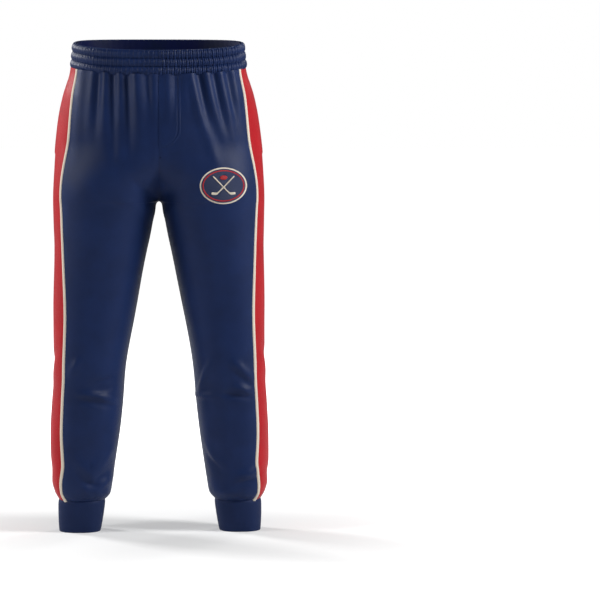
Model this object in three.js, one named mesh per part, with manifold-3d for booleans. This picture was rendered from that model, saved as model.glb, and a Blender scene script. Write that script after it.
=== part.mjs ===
// Team jogger trousers in knitted fabric, hanging as worn by a standing player.
//
// Millimetres, +Z up. The origin is the centre of the waist opening, level with
// the rim at the sides. The front faces -Y and +X is the wearer's left.
//
// The trousers are cut as the real ones are: a front, a side and a back panel for
// each leg, flat piping in the two side seams, a shirred elastic waistband and a
// ribbed cuff at each ankle. Cloth can't hinge, so each panel is divided at the hip
// and the knee into firm stretches and the stretches that bend between them.
import * as THREE from 'three';
import Module from 'manifold-3d';
import { mergeVertices } from 'three/addons/utils/BufferGeometryUtils.js';

// ---- driving dimensions ----------------------------------------------------------

const CLOTH = 2.4; // wall of the knitted panels
const GAP = 0.3; // clearance between pieces that meet edge to edge
const LAY = 1.2; // clearance between curved pieces that lie on each other
const SLIVER = 0.02; // edges shorter than this are closed up after a cut

const BAND_HEIGHT = 52; // waistband, rim to seam
const BAND_ROWS = 3; // shirred rows in the waistband
const BAND_PUFF = 3; // how far each shirred row stands proud
const ELASTIC_HEIGHT = 44;
const RIM_FRONT_DROP = 17; // the rim is lower at the front than at the sides
const RIM_BACK_RISE = 8; // and higher at the back
const RIM_LEVEL_AT = -250; // below this height the rows are level

const CROTCH = -323; // height of the fork
const FORK_DEPTH = 130; // height over which the rise curves in under the fork
const HEM = -945; // where the leg is sewn to its cuff
const CUFF_BOTTOM = -1009;
const CUFF_WALL = 3;

const HIP_PIVOT = { y: -20, z: -253 };
const BELOW_FORK = 5; // the seat stays whole to just below the fork
const HIP_BEND = 250; // height of the stretch that bends, along any upright line
const KNEE_PIVOT = { y: 10, z: -673 };
const KNEE_BEND = 240;
const THIGH_SPLIT = -538; // the firm part of the thigh, where the piping is divided

const PIPING_WIDTH = 6;
const PIPING_PROUD = 1.2;

const POCKET_TOP = -77; // ends of the pocket mouth
const POCKET_BOTTOM = -230;
const POCKET_GAPE = 8;
const POCKET_BEHIND = 8; // the mouth lies this far behind the outermost line
const POCKET_BAG = { width: 128, top: -66, bottom: -296, depth: 8 };
const FACING_WIDTH = 14;

const FLY = { width: 42, bottom: -205 };
const FLY_TACK = { x: 9, z: -232, width: 15, height: 3 };
const BADGE = { x: 130, z: -290, width: 99, height: 77, proud: 1 };
const TACK = { width: 4, height: 9, depth: 1 };

const BULGE = 2.3; // exponent of the superellipse of each level section

// Level sections of the left half: outermost and innermost line, front and back.
const STATIONS = [
  { z: 30, outer: 172, inner: 0, front: -117, back: 120 },
  { z: 0, outer: 174, inner: 0, front: -118, back: 121 },
  { z: -52, outer: 180, inner: 0, front: -122, back: 126 },
  { z: -110, outer: 198, inner: 0, front: -128, back: 136 },
  { z: -180, outer: 207, inner: 0, front: -130, back: 145 },
  { z: -250, outer: 213, inner: 0, front: -126, back: 147 },
  { z: CROTCH, outer: 217, inner: 1, front: -116, back: 134 },
  { z: -360, outer: 216, inner: 11, front: -110, back: 122 },
  { z: -420, outer: 214, inner: 25, front: -102, back: 108 },
  { z: -550, outer: 217, inner: 50, front: -88, back: 90 },
  { z: -673, outer: 217, inner: 71, front: -80, back: 78 },
  { z: -800, outer: 222, inner: 84, front: -68, back: 82 },
  { z: -890, outer: 219, inner: 97, front: -56, back: 76 },
  { z: -925, outer: 216, inner: 105, front: -46, back: 68 },
  { z: HEM, outer: 209, inner: 115, front: -37, back: 58 },
];

// The ribbed cuff narrows towards the ankle, mostly on its inner side.
const CUFF_TOP_EDGE = { outer: 208.5, inner: 115.5, front: -36.5, back: 57.5 };
const CUFF_LOW_EDGE = { outer: 207, inner: 125.5, front: -31, back: 51 };

// Half the width of the side panel, measured round the leg from its outermost line.
const SIDE_HALF_WIDTHS = [
  { z: 0, width: 53 },
  { z: -64, width: 62 },
  { z: -120, width: 73 },
  { z: -200, width: 80 },
  { z: -323, width: 79 },
  { z: -427, width: 73 },
  { z: -530, width: 76 },
  { z: -673, width: 67 },
  { z: -800, width: 66 },
  { z: -862, width: 67 },
  { z: -905, width: 55 },
  { z: HEM, width: 40 },
];

const NAVY = { color: 0x1c3259, roughness: 0.75, metalness: 0 };
const RED = { color: 0xbf242a, roughness: 0.75, metalness: 0 };
const IVORY = { color: 0xe8ddcb, roughness: 0.7, metalness: 0 };
const WHITE_ELASTIC = { color: 0xdcdcd8, roughness: 0.8, metalness: 0 };
const POCKETING = { color: 0x16233f, roughness: 0.85, metalness: 0 };

// ---- smooth curves through the stations ------------------------------------------

/** A monotone cubic through the named value of a list ordered from high to low. */
function through(list, key, z) {
  const last = list.length - 1;
  if (z >= list[0].z) return list[0][key];
  if (z <= list[last].z) return list[last][key];
  const slope = (i) => (list[i + 1][key] - list[i][key]) / (list[i + 1].z - list[i].z);
  const tangent = (i) => {
    if (i === 0) return slope(0);
    if (i === last) return slope(last - 1);
    const [before, after] = [slope(i - 1), slope(i)];
    return before * after <= 0 ? 0 : (2 * before * after) / (before + after);
  };
  let i = 0;
  while (z < list[i + 1].z) i += 1;
  const step = list[i + 1].z - list[i].z;
  const t = (z - list[i].z) / step;
  const [p, q] = [list[i][key], list[i + 1][key]];
  const [m, n] = [tangent(i) * step, tangent(i + 1) * step];
  const [t2, t3] = [t * t, t * t * t];
  return (2 * t3 - 3 * t2 + 1) * p + (t3 - 2 * t2 + t) * m + (3 * t2 - 2 * t3) * q + (t3 - t2) * n;
}

// ---- the level section of the left half ------------------------------------------

/**
 * The section at height z. It runs from the front centre (or the inseam, below the
 * fork) round the outside of the hip to the back centre. Above the fork the two legs
 * grow together: `fork` falls from 1 at the fork to 0 where the hips are one loop.
 */
function section(z, fixed) {
  const size = (key) => (fixed ? fixed[key] : through(STATIONS, key, z));
  const fork = fixed || z <= CROTCH ? 1 : Math.max(0, 1 - (z - CROTCH) / FORK_DEPTH);
  const whole = z > CROTCH && !fixed;
  const inner = whole ? 0 : size('inner');
  const half = whole ? size('outer') / (1 + fork) : (size('outer') - inner) / 2;
  const centre = size('outer') - half;
  const deep = (size('back') - size('front')) / 2;
  const middle = (size('back') + size('front')) / 2;
  const end = whole ? Math.PI - Math.acos(fork ** (BULGE / 2)) : Math.PI;

  const curved = (v) => Math.sign(v) * Math.abs(v) ** (2 / BULGE);
  const samples = 240;
  const points = [];
  const lengths = [0];
  for (let i = 0; i <= samples; i += 1) {
    const angle = -end + (2 * end * i) / samples;
    const x = centre + half * curved(Math.cos(angle));
    const y = middle + deep * curved(Math.sin(angle));
    points.push(new THREE.Vector2(x, y));
    if (i > 0) lengths.push(lengths[i - 1] + points[i].distanceTo(points[i - 1]));
  }
  const total = lengths[samples];
  const outermost = lengths[samples / 2];

  /** The point at a length along the section, moved out along the level normal. */
  const at = (length, out) => {
    const wanted = THREE.MathUtils.clamp(length, 0, total);
    let i = 1;
    while (i < samples && lengths[i] < wanted) i += 1;
    const share = (wanted - lengths[i - 1]) / (lengths[i] - lengths[i - 1]);
    const p = points[i - 1].clone().lerp(points[i], share);
    const across = (p.x - centre) / half;
    const along = (p.y - middle) / deep;
    const normal = new THREE.Vector2(
      (Math.sign(across) * Math.abs(across) ** (BULGE - 1)) / half,
      (Math.sign(along) * Math.abs(along) ** (BULGE - 1)) / deep,
    ).normalize();
    p.addScaledVector(normal, out);
    const level = fixed ? 0 : THREE.MathUtils.smoothstep(z, RIM_LEVEL_AT, -BAND_HEIGHT);
    const lean = ((RIM_FRONT_DROP + RIM_BACK_RISE) / 2) * along;
    const dip = ((RIM_FRONT_DROP - RIM_BACK_RISE) / 2) * along * along;
    return new THREE.Vector3(Math.max(GAP / 2, p.x), p.y, z + level * (lean - dip));
  };
  return { total, outermost, at };
}

// ---- closed sheets ---------------------------------------------------------------

/**
 * A closed sheet over a grid of rows, from top to bottom, and columns. `place(i, j)`
 * gives the outer and the inner corner, and `keep(i, j)` says which cells are there.
 * A loop's last column is joined to its first.
 */
function sheet(rows, columns, place, { loop = false, keep = () => true } = {}) {
  const across = loop ? columns : columns + 1;
  const positions = [];
  for (let i = 0; i <= rows; i += 1) {
    for (let j = 0; j < across; j += 1) {
      const { outer, inner } = place(i, j);
      positions.push(...outer.toArray(), ...inner.toArray());
    }
  }
  const corner = (i, j, side) => (i * across + (j % across)) * 2 + side;
  const there = (i, j) => {
    const column = loop ? (j + columns) % columns : j;
    return i >= 0 && i < rows && column >= 0 && column < columns && keep(i, column);
  };
  const faces = [];
  const quad = (a, b, c, d) => faces.push(a, b, c, a, c, d);
  for (let i = 0; i < rows; i += 1) {
    for (let j = 0; j < columns; j += 1) {
      if (!there(i, j)) continue;
      const ring = [[i, j], [i + 1, j], [i + 1, j + 1], [i, j + 1]];
      const next = [there(i, j - 1), there(i + 1, j), there(i, j + 1), there(i - 1, j)];
      quad(...ring.map(([r, c]) => corner(r, c, 0)));
      quad(...[...ring].reverse().map(([r, c]) => corner(r, c, 1)));
      ring.forEach(([r, c], n) => {
        const [r2, c2] = ring[(n + 1) % 4];
        if (!next[n]) quad(corner(r, c, 0), corner(r, c, 1), corner(r2, c2, 1), corner(r2, c2, 0));
      });
    }
  }
  const geometry = new THREE.BufferGeometry();
  geometry.setAttribute('position', new THREE.Float32BufferAttribute(positions, 3));
  geometry.setIndex(faces);
  return geometry;
}

/**
 * A sheet that follows the left half's sections. `from` and `to` give, for a
 * section and its height, the lengths between which the sheet lies.
 */
function wall(heights, columns, from, to, outside, inside, keep) {
  const sections = heights.map((z) => section(z));
  const place = (i, j) => {
    const s = sections[i];
    const start = from(s, heights[i]);
    const length = start + ((to(s, heights[i]) - start) * j) / columns;
    return { outer: s.at(length, outside), inner: s.at(length, inside) };
  };
  return sheet(heights.length - 1, columns, place, { keep });
}

/** Unused corners are dropped and shared ones merged, so the sheet is one solid. */
function tidy(geometry) {
  const merged = geometry.toNonIndexed();
  merged.deleteAttribute('normal');
  merged.deleteAttribute('uv');
  return mergeVertices(merged, 1e-4);
}

// ---- cuts ------------------------------------------------------------------------

const wasm = await Module();
wasm.setup();

function toSolid(geometry) {
  const merged = tidy(geometry);
  return new wasm.Manifold(
    new wasm.Mesh({
      numProp: 3,
      vertProperties: new Float32Array(merged.attributes.position.array),
      triVerts: new Uint32Array(merged.index.array),
    }),
  );
}

function toGeometry(solid) {
  const mesh = solid.simplify(SLIVER).getMesh();
  const geometry = new THREE.BufferGeometry();
  geometry.setAttribute('position', new THREE.BufferAttribute(mesh.vertProperties, 3));
  geometry.setIndex(new THREE.BufferAttribute(mesh.triVerts, 1));
  return geometry;
}

/** The half space past a plane, as one big box. `direction` points into it. */
function past(point, direction) {
  const reach = 3000;
  const box = new THREE.BoxGeometry(reach, reach, reach);
  box.translate(0, 0, reach / 2);
  const turn = new THREE.Quaternion().setFromUnitVectors(new THREE.Vector3(0, 0, 1), direction);
  box.applyQuaternion(turn);
  box.translate(point.x, point.y, point.z);
  return toSolid(box);
}

const DOWN = new THREE.Vector3(0, 0, -1);
// The hip bends between two planes that rise outwards from the fork at 45 degrees.
const HIP_WAY = new THREE.Vector3(1, 0, -1).normalize();
const FORK = new THREE.Vector3(0, 0, CROTCH - BELOW_FORK);

/** What lies past the start of each stretch of the leg, in order down the leg. */
function stretches() {
  const shifted = (point, way, by) => point.clone().addScaledVector(way, by);
  const hipEnd = new THREE.Vector3(0, 0, FORK.z - HIP_BEND);
  const kneeStart = new THREE.Vector3(0, 0, KNEE_PIVOT.z + KNEE_BEND / 2);
  const kneeEnd = new THREE.Vector3(0, 0, KNEE_PIVOT.z - KNEE_BEND / 2);
  const planes = [[FORK, HIP_WAY], [hipEnd, HIP_WAY], [kneeStart, DOWN], [kneeEnd, DOWN]];
  return planes.map(([point, way]) => ({
    before: past(shifted(point, way, -GAP / 2), way),
    after: past(shifted(point, way, GAP / 2), way),
  }));
}

const STRETCHES = ['hip', 'hip_bend', 'thigh', 'knee_bend', 'calf'];
const PLANES = stretches();

/** A panel divided into its five stretches. */
function divided(geometry) {
  const solid = toSolid(geometry);
  return STRETCHES.map((stretch, n) => {
    let piece = solid;
    if (n > 0) piece = piece.intersect(PLANES[n - 1].after);
    if (n < PLANES.length) piece = piece.subtract(PLANES[n].before);
    return toGeometry(piece);
  });
}

// ---- the pieces of the left half --------------------------------------------------

const steps = (from, to, count) =>
  Array.from({ length: count + 1 }, (_, i) => from + ((to - from) * i) / count);

// Rows crowd together just above the fork, where the rise turns under.
const HEIGHTS = [
  ...[-BAND_HEIGHT - GAP, POCKET_TOP, -110, -150, CROTCH + FORK_DEPTH, POCKET_BOTTOM],
  ...[4, 3, 2, 1].map((n) => CROTCH + FORK_DEPTH * (n / 6) ** 2),
  ...steps(CROTCH, THIGH_SPLIT, 5),
  ...steps(THIGH_SPLIT, -890, 8).slice(1),
  ...[-912, -930, HEM],
];

const sideHalf = (z) => through(SIDE_HALF_WIDTHS, 'width', z);
const frontSeam = (s, z) => s.outermost - sideHalf(z);
const backSeam = (s, z) => s.outermost + sideHalf(z);
const pocketLine = (s) => s.outermost + POCKET_BEHIND;
const halfPiping = PIPING_WIDTH / 2;

function frontPanel() {
  const edge = (s, z) => frontSeam(s, z) - halfPiping - GAP;
  return wall(HEIGHTS, 6, () => GAP / 2, edge, 0, -CLOTH);
}

function backPanel() {
  const edge = (s, z) => backSeam(s, z) + halfPiping + GAP;
  return wall(HEIGHTS, 6, edge, (s) => s.total - GAP / 2, 0, -CLOTH);
}

/** The side panel, with the pocket mouth cut through it. */
function sidePanel() {
  const sections = HEIGHTS.map((z) => section(z));
  const lengths = (s, z) => {
    const front = frontSeam(s, z) + halfPiping + GAP;
    const back = backSeam(s, z) - halfPiping - GAP;
    const lip = [pocketLine(s) - POCKET_GAPE / 2, pocketLine(s) + POCKET_GAPE / 2];
    return [front, (front + lip[0]) / 2, ...lip, (back + lip[1]) / 2, back];
  };
  const place = (i, j) => {
    const length = lengths(sections[i], HEIGHTS[i])[j];
    return { outer: sections[i].at(length, 0), inner: sections[i].at(length, -CLOTH) };
  };
  const keep = (i, j) => j !== 2 || HEIGHTS[i] > POCKET_TOP || HEIGHTS[i] <= POCKET_BOTTOM;
  return sheet(HEIGHTS.length - 1, 5, place, { keep });
}

function piping(seam, heights) {
  const from = (s, z) => seam(s, z) - halfPiping;
  const to = (s, z) => seam(s, z) + halfPiping;
  return wall(heights, 1, from, to, PIPING_PROUD, -CLOTH);
}

/** The strip that binds both lips of the pocket mouth, behind the side panel. */
function pocketFacing() {
  const heights = [POCKET_TOP + 8, POCKET_TOP, -110, -150, -193, POCKET_BOTTOM, POCKET_BOTTOM - 8];
  const sections = heights.map((z) => section(z));
  const lengths = [-FACING_WIDTH, -POCKET_GAPE / 2, POCKET_GAPE / 2, FACING_WIDTH];
  const place = (i, j) => {
    const length = pocketLine(sections[i]) + lengths[j];
    const outside = -CLOTH - LAY;
    return {
      outer: sections[i].at(length, outside),
      inner: sections[i].at(length, outside - 1.2),
    };
  };
  const keep = (i, j) => j !== 1 || i === 0 || i === heights.length - 2;
  return sheet(heights.length - 1, 3, place, { keep });
}

/** A flat bag that hangs inside the front, open towards the pocket mouth. */
function pocketBag() {
  const outside = -CLOTH - 2 * LAY - 1.2;
  const skin = 1.5;
  const { width, top, bottom, depth } = POCKET_BAG;
  const layer = (heights, reach, mouth, out, inn) => {
    const from = (s) => pocketLine(s) - reach;
    return wall(heights, 4, from, (s) => pocketLine(s) + mouth, out, inn);
  };
  const bag = layer(steps(top, bottom, 5), width, FACING_WIDTH, outside, outside - depth);
  const room = layer(
    steps(top - skin, bottom + skin, 5),
    width - skin,
    FACING_WIDTH - skin,
    outside - skin,
    outside - depth + skin,
  );
  const way = layer(
    steps(POCKET_TOP, POCKET_BOTTOM, 5),
    POCKET_GAPE / 2,
    POCKET_GAPE / 2,
    outside + 2,
    outside - depth / 2,
  );
  return toGeometry(toSolid(bag).subtract(toSolid(room)).subtract(toSolid(way)));
}

/** The layer folded back behind the front centre seam, which the fly stitching holds. */
function mockFly() {
  const heights = steps(-BAND_HEIGHT - 4, FLY.bottom, 6);
  const outside = -CLOTH - 2 * LAY;
  return wall(heights, 2, () => 1, () => FLY.width, outside, outside - 1.5);
}

/** A patch that lies on the left front panel over a box seen from the front. */
function frontPatch(centreX, centreZ, width, height, columns, rows, thick) {
  const heights = steps(centreZ + height / 2, centreZ - height / 2, rows);
  const lengthAtX = (s, x) => {
    let length = 0;
    while (length < s.outermost && s.at(length, 0).x < x) length += 0.5;
    return length;
  };
  const from = (s) => lengthAtX(s, centreX - width / 2);
  const to = (s) => lengthAtX(s, centreX + width / 2);
  return wall(heights, columns, from, to, LAY + thick, LAY);
}

/** The dense stitching that closes one end of a pocket mouth, centred at height z. */
function pocketTack(z) {
  const half = TACK.width / 2;
  const heights = [z + TACK.height / 2, z - TACK.height / 2];
  const from = (s) => pocketLine(s) - half;
  const to = (s) => pocketLine(s) + half;
  return wall(heights, 1, from, to, LAY + TACK.depth, LAY);
}

// ---- waistband and cuffs, which are closed loops ------------------------------------

/** A loop round the whole waist. `profile` lists [height, outside, inside] down it. */
function waistLoop(profile) {
  const columns = 44;
  const sections = profile.map(([z]) => section(z));
  const place = (i, j) => {
    const [, outside, inside] = profile[i];
    const s = sections[i];
    const half = columns / 2;
    const mirrored = j > half;
    const share = mirrored ? (columns - j) / half : j / half;
    const corner = (out) => {
      const p = s.at(share * s.total, out);
      if (j % half === 0) p.x = 0;
      return mirrored ? p.multiply(new THREE.Vector3(-1, 1, 1)) : p;
    };
    return { outer: corner(outside), inner: corner(inside) };
  };
  return sheet(profile.length - 1, columns, place, { loop: true });
}

function waistbandOuter() {
  const perRow = 3;
  const heights = steps(0, -BAND_HEIGHT, BAND_ROWS * perRow);
  const puff = (n) => BAND_PUFF * Math.sin((Math.PI * n) / perRow) ** 2;
  return waistLoop(heights.map((z, n) => [z, puff(n), -1.8]));
}

function waistbandElastic() {
  const top = -(BAND_HEIGHT - ELASTIC_HEIGHT) / 2;
  return waistLoop(steps(top, top - ELASTIC_HEIGHT, 4).map((z) => [z, -2.6, -4.4]));
}

function waistbandFacing() {
  return waistLoop(steps(0, -BAND_HEIGHT, 4).map((z) => [z, -5.2, -6.6]));
}

/** The ribbed cuff, level at its lower edge. */
function cuff() {
  const columns = 32;
  const levels = [[HEM - GAP, 0], [HEM - 20, 0.6], [HEM - 44, 0.6], [CUFF_BOTTOM, 0]];
  const loops = levels.map(([z, swell]) => {
    const share = (HEM - GAP - z) / (HEM - GAP - CUFF_BOTTOM);
    const edges = {};
    for (const key of Object.keys(CUFF_TOP_EDGE)) {
      edges[key] = THREE.MathUtils.lerp(CUFF_TOP_EDGE[key], CUFF_LOW_EDGE[key], share);
    }
    return { z, swell, ring: section(z, edges) };
  });
  const place = (i, j) => {
    const { z, swell, ring } = loops[i];
    const at = (out) => ring.at((ring.total * j) / columns, out).setZ(z);
    return { outer: at(swell), inner: at(-CUFF_WALL) };
  };
  return sheet(levels.length - 1, columns, place, { loop: true });
}

// ---- assembly ----------------------------------------------------------------------

const group = new THREE.Group();
group.name = 'jogger_trousers';

function add(name, geometry, finish) {
  const mesh = new THREE.Mesh(geometry, new THREE.MeshStandardMaterial(finish));
  mesh.name = name;
  group.add(mesh);
}

/** The same piece on the wearer's right, with its faces turned back outwards. */
function mirrored(geometry) {
  const copy = geometry.clone();
  copy.applyMatrix4(new THREE.Matrix4().makeScale(-1, 1, 1));
  const index = copy.index.array;
  for (let i = 0; i < index.length; i += 3) {
    [index[i + 1], index[i + 2]] = [index[i + 2], index[i + 1]];
  }
  return copy;
}

function addBothSides(name, geometry, finish) {
  add(`left_${name}`, geometry, finish);
  add(`right_${name}`, mirrored(geometry), finish);
}

const PANELS = [
  ['front_panel', frontPanel(), NAVY],
  ['side_panel', sidePanel(), RED],
  ['back_panel', backPanel(), NAVY],
];
for (const [name, geometry, finish] of PANELS) {
  divided(geometry).forEach((piece, n) => addBothSides(`${name}_${STRETCHES[n]}`, piece, finish));
}

const UPPER = HEIGHTS.filter((z) => z > THIGH_SPLIT - 1);
const LOWER = [THIGH_SPLIT - GAP, ...HEIGHTS.filter((z) => z < THIGH_SPLIT - 1)];
for (const [side, seam] of [['front', frontSeam], ['back', backSeam]]) {
  addBothSides(`${side}_piping_upper`, piping(seam, UPPER), IVORY);
  addBothSides(`${side}_piping_lower`, piping(seam, LOWER), IVORY);
}

addBothSides('pocket_facing', tidy(pocketFacing()), RED);
addBothSides('pocket_bag', pocketBag(), POCKETING);
addBothSides('pocket_bartack_top', pocketTack(POCKET_TOP + TACK.height / 2 + 1), RED);
addBothSides('pocket_bartack_bottom', pocketTack(POCKET_BOTTOM - TACK.height / 2 - 1), RED);
addBothSides('rib_cuff', cuff(), NAVY);

add('waistband_outer', waistbandOuter(), NAVY);
add('waistband_elastic', waistbandElastic(), WHITE_ELASTIC);
add('waistband_facing', waistbandFacing(), NAVY);
add('mock_fly', mockFly(), NAVY);
add('fly_bartack', frontPatch(FLY_TACK.x, FLY_TACK.z, FLY_TACK.width, FLY_TACK.height, 2, 1, 0.8), NAVY);
add('thigh_badge', frontPatch(BADGE.x, BADGE.z, BADGE.width, BADGE.height, 6, 5, BADGE.proud), IVORY);

export default group;
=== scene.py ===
"""Knitted team jogger trousers, hanging as worn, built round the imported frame.

Metres, +Z up. The origin is the centre of the waist opening, level with the rim at
the sides. The front faces -Y and +X is the wearer's left.
"""

import math

import bmesh
import bpy
import numpy as np
from bpy.props import FloatProperty, FloatVectorProperty, IntProperty, PointerProperty
from bpy.types import Operator, Panel, PropertyGroup
from mathutils import Matrix, Vector
from mathutils.kdtree import KDTree


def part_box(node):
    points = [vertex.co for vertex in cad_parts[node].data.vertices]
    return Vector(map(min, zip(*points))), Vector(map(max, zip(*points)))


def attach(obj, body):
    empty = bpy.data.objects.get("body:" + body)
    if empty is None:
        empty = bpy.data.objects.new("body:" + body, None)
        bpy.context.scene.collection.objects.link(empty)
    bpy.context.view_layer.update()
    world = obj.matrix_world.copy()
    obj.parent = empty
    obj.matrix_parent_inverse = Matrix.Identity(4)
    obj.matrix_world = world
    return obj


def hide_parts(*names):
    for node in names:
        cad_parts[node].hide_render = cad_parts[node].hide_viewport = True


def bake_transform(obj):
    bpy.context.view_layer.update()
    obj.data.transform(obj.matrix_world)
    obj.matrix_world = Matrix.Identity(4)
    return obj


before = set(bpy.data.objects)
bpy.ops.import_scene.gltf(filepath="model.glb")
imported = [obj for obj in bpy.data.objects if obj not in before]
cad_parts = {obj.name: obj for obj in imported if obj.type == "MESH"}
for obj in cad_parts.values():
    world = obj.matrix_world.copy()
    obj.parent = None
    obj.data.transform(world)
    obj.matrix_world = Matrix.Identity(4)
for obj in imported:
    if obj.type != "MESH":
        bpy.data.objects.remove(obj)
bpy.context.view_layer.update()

bl_info = {
    "name": "Jogger Trousers",
    "version": (1, 0, 0),
    "blender": (4, 5, 0),
    "location": "3D View > Sidebar > Trousers",
    "description": "Knitted team jogger trousers with piped side panels and ribbed cuffs",
    "category": "Add Mesh",
}

SIDES = (("left", 1), ("right", -1))
FLOOR_GLOW = (1.02, 1.5, 0.17, 0.99)  # from here to here, the floor's glow grows by so much
WORLD_FILL = 0.045
MM = 0.001


# ---- the form ---------------------------------------------------------------------

FORK_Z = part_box("left_front_panel_hip")[0][2] + 0.001  # where the two legs part
FORK_DEPTH = 0.130  # how far above it the section begins to close
BAND_HEIGHT = 0.052
BAND_SEEN = 0.0495  # height of the waistband's outer cloth
BAND_INSET = 0.0028  # how far the shirring's stitch rows are drawn in
HEM_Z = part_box("left_side_panel_calf")[0][2]
CUFF_TOP_Z = HEM_Z - 0.0003
CUFF_LOW_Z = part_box("left_rib_cuff")[0][2]
# The rim is low in front and high behind. Below this height the rows are level again.
RIM_LEVEL_AT, RIM_FRONT_DROP, RIM_BACK_RISE = -0.250, 0.017, 0.008
BULGE = 2.3  # the power of the sections' curve; 2 would be an ellipse
SEAM_SOFT = 0.008  # how near the middle seams the cloth keeps to them
ARCH_WIDE, ARCH_TALL = 0.0050, 0.009  # the rounded top of the gap between the legs
ARCH_FADE = 0.090  # how far below the fork the arch has run into the inner leg
ARCH_REACH = 0.035  # how far out from the inner leg it pushes the cloth
FORK_SLOPE = 0.3  # how fast the section closes just above the fork

# Level sections of the left half: height, outermost and innermost line, front, back.
STATIONS = (
    (0.030, 0.172, 0.000, -0.117, 0.120),
    (0.000, 0.174, 0.000, -0.118, 0.121),
    (-0.052, 0.1795, 0.000, -0.122, 0.126),
    (-0.110, 0.1950, 0.000, -0.128, 0.136),
    (-0.180, 0.2058, 0.000, -0.130, 0.145),
    (-0.250, 0.213, 0.000, -0.126, 0.147),
    (-0.323, 0.217, 0.0003, -0.116, 0.134),
    (FORK_Z, 0.217, 0.0008, -0.1153, 0.1327),
    (-0.348, 0.2165, 0.0052, -0.1117, 0.1262),
    (-0.373, 0.2157, 0.0123, -0.1082, 0.1190),
    (-0.420, 0.214, 0.025, -0.102, 0.108),
    (-0.550, 0.217, 0.050, -0.088, 0.090),
    (-0.673, 0.217, 0.071, -0.080, 0.078),
    (-0.740, 0.2215, 0.0775, -0.073, 0.080),
    (-0.800, 0.2245, 0.084, -0.068, 0.082),
    (-0.860, 0.2250, 0.092, -0.060, 0.079),
    (-0.900, 0.2225, 0.0980, -0.055, 0.075),
    (-0.928, 0.2175, 0.1030, -0.048, 0.069),
    (-0.945, 0.2085, 0.1145, -0.037, 0.058),
)
CUFF_EDGES = (  # the same for the cuff's two edges
    (CUFF_TOP_Z, 0.2085, 0.1155, -0.0365, 0.0575),
    (CUFF_LOW_Z, 0.2070, 0.1255, -0.0310, 0.0510),
)
SIDE_HALF_WIDTHS = (  # height, and half the side panel's width measured round the leg
    (0.000, 0.053),
    (-0.064, 0.062),
    (-0.120, 0.073),
    (-0.200, 0.080),
    (-0.323, 0.080),
    (-0.427, 0.073),
    (-0.530, 0.076),
    (-0.673, 0.067),
    (-0.800, 0.066),
    (-0.862, 0.067),
    (-0.905, 0.055),
    (-0.945, 0.040),
)
THIGH_SPLIT = -0.538  # where the pieces over the hip meet the pieces over the knee

POCKET_TOP, POCKET_BOTTOM = -0.077, -0.230
POCKET_LINE = 0.008  # the pocket mouth, behind the outermost line
POCKET_GAPE = 0.0018  # how far the lip stands out
POCKET_SPREAD = 0.026  # how far ahead of the mouth its lip is lifted
BAG_TOP, BAG_BOTTOM, BAG_HALF = -0.062, -0.296, 0.060
BAG_FOOT = 0.060  # the height of its rounded foot
BAG_INSIDE, BAG_DEEP = 0.0035, 0.005  # how far it hangs inside the cloth, and its depth
PIPING_TURN = 1.3  # where the tape's edges end under the cloth, in half widths
PIPING_WALL = 0.0011
BADGE_WALL = 0.0006
FLY_WIDTH, FLY_CURVE, FLY_BOTTOM = 0.048, -0.170, -0.212
FLY_TACK_Z = -0.232
FLY_STITCHES = (0.003, 0.0098)  # how far in from the fly's edge its two rows are sewn
BADGE_X, BADGE_Z = 0.130, -0.290


def through(stations, column, z):
    """A monotone cubic through one column of a list of stations."""
    rows = sorted(stations)
    at = np.array([row[0] for row in rows])
    value = np.array([row[column] for row in rows])
    step = np.diff(at)
    slope = np.diff(value) / step
    tangent = np.empty_like(value)
    tangent[0], tangent[-1] = slope[0], slope[-1]
    before, after = slope[:-1], slope[1:]
    both = before * after
    total = np.where(np.abs(before + after) < 1e-12, 1.0, before + after)
    tangent[1:-1] = np.where(both <= 0, 0.0, 2 * both / total)
    z = np.clip(z, at[0], at[-1])
    i = np.clip(np.searchsorted(at, z, side="right") - 1, 0, len(step) - 1)
    t = (z - at[i]) / step[i]
    t2, t3 = t * t, t * t * t
    return (
        (2 * t3 - 3 * t2 + 1) * value[i]
        + (t3 - 2 * t2 + t) * step[i] * tangent[i]
        + (3 * t2 - 2 * t3) * value[i + 1]
        + (t3 - t2) * step[i] * tangent[i + 1]
    )


def smoothstep(low, high, value):
    """0 up to low, 1 from high on, and a smooth rise between them."""
    t = np.clip((value - low) / (high - low), 0.0, 1.0)
    return t * t * (3 - 2 * t)


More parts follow.
